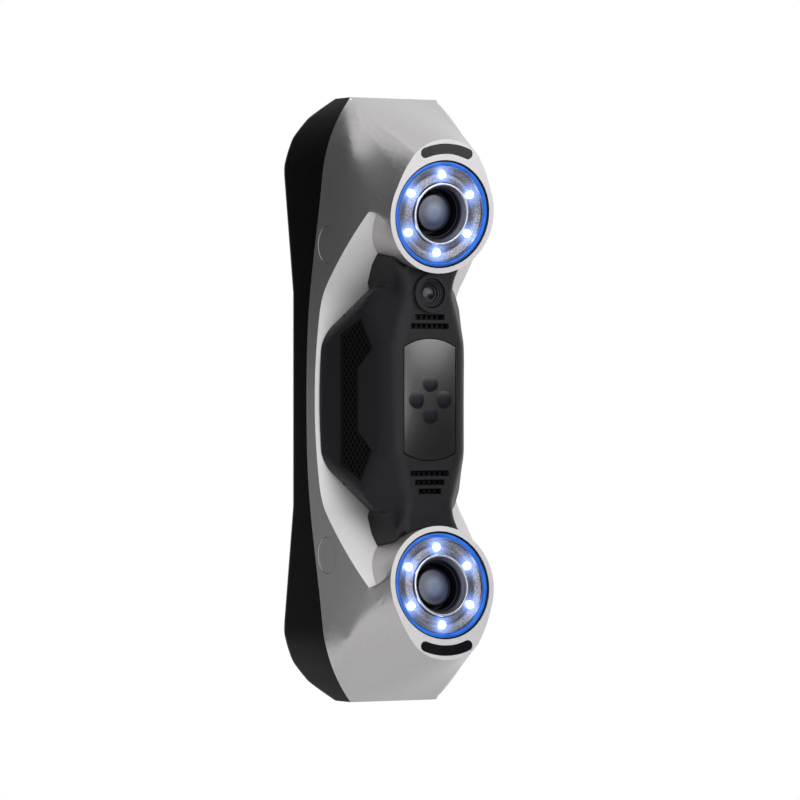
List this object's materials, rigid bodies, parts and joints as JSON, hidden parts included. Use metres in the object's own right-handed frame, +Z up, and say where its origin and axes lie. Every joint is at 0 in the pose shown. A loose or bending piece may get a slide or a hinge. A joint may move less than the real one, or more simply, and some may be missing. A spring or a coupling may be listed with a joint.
{
  "type": "handheld three-d scanner",
  "caption": "Handheld structured-light scanner: silver front with two toed-in lamp-ringed camera pods, a projector in a black centre cover and a waisted grip behind with keys.",
  "frame": {"origin": "centre of the tripod socket's mouth in the flat lower end", "axes": "+Z up along the scanner's length, -Y out of the lenses, +X to the right seen from the front"},
  "size_m": [0.052, 0.0693, 0.203],
  "materials": {
    "satin_silver": "satin, bead-blasted",
    "black_shell": "fine moulded grain, half gloss",
    "black_cover": "matte moulded",
    "soft_grip": "soft-touch",
    "key_rubber": "soft-touch",
    "status_lens": "frosted",
    "blue_light_guide": "glowing blue",
    "lamp_reflector": "brushed",
    "lamp_lens": "clear, lit white",
    "hood_metal": "turned",
    "lens_black": "anodised black",
    "lens_glass": "coated",
    "smoked_window": "polished",
    "black_mesh": "woven black",
    "circuit_board": "solder mask",
    "chip": "moulded",
    "frame_metal": "milled",
    "fan_plastic": "moulded",
    "steel": "plated",
    "brass": "turned"
  },
  "bodies": {
    "scanner_body": {"centre_cover": "black_cover", "colour_camera_bezel": "lens_black", "colour_camera_body": "lens_black", "colour_camera_lens": "lens_glass", "fan_frame": "fan_plastic", "front_shell": "satin_silver", "heat_sink": "frame_metal", "key_switches": "chip", "keypad_board": "circuit_board", "keypad_panel": "soft_grip", "left_grille": "black_mesh", "lower_accent_ring": "blue_light_guide", "lower_camera_bracket": "frame_metal", "lower_fill_window": "smoked_window", "lower_image_sensor": "chip", "lower_lamp_board": "circuit_board", "lower_lamp_leds": "lamp_lens", "lower_lamp_reflector": "lamp_reflector", "lower_lens_barrel": "lens_black", "lower_lens_glass": "lens_glass", "lower_lens_hood": "hood_metal", "lower_sensor_board": "circuit_board", "lower_vent_screen": "black_mesh", "main_board": "circuit_board", "main_chips": "chip", "optical_frame": "frame_metal", "power_board": "circuit_board", "projector_housing": "frame_metal", "projector_lenses": "lens_glass", "projector_window": "smoked_window", "rear_screws": "steel", "rear_shell": "black_shell", "right_grille": "black_mesh", "side_plugs": "satin_silver", "side_screws": "steel", "status_light": "status_lens", "tripod_insert": "brass", "upper_accent_ring": "blue_light_guide", "upper_camera_bracket": "frame_metal", "upper_fill_window": "smoked_window", "upper_image_sensor": "chip", "upper_lamp_board": "circuit_board", "upper_lamp_leds": "lamp_lens", "upper_lamp_reflector": "lamp_reflector", "upper_lens_barrel": "lens_black", "upper_lens_glass": "lens_glass", "upper_lens_hood": "hood_metal", "upper_sensor_board": "circuit_board", "upper_vent_screen": "black_mesh", "usb_socket": "steel"},
    "scan_key": {"scan_key": "key_rubber"},
    "plus_key": {"plus_key": "key_rubber"},
    "minus_key": {"minus_key": "key_rubber"},
    "left_key": {"left_key": "key_rubber"},
    "right_key": {"right_key": "key_rubber"},
    "fan_rotor": {"fan_rotor": "fan_plastic"}
  },
  "joints": [
    {"name": "scan_press", "type": "slide", "parent": "scanner_body", "child": "scan_key", "axis": [0, -1, 0], "range_m": [0, 0.0007], "stiffness_N_per_m": 300},
    {"name": "plus_press", "type": "slide", "parent": "scanner_body", "child": "plus_key", "axis": [0, -1, 0], "range_m": [0, 0.0007], "stiffness_N_per_m": 300},
    {"name": "minus_press", "type": "slide", "parent": "scanner_body", "child": "minus_key", "axis": [0, -1, 0], "range_m": [0, 0.0007], "stiffness_N_per_m": 300},
    {"name": "left_press", "type": "slide", "parent": "scanner_body", "child": "left_key", "axis": [0, -1, 0], "range_m": [0, 0.0007], "stiffness_N_per_m": 300},
    {"name": "right_press", "type": "slide", "parent": "scanner_body", "child": "right_key", "axis": [0, -1, 0], "range_m": [0, 0.0007], "stiffness_N_per_m": 300},
    {"name": "fan_spin", "type": "hinge", "parent": "scanner_body", "child": "fan_rotor", "pos_m": [0, 0.0084, 0.1015], "axis": [0, 1, 0], "continuous": true}
  ]
}
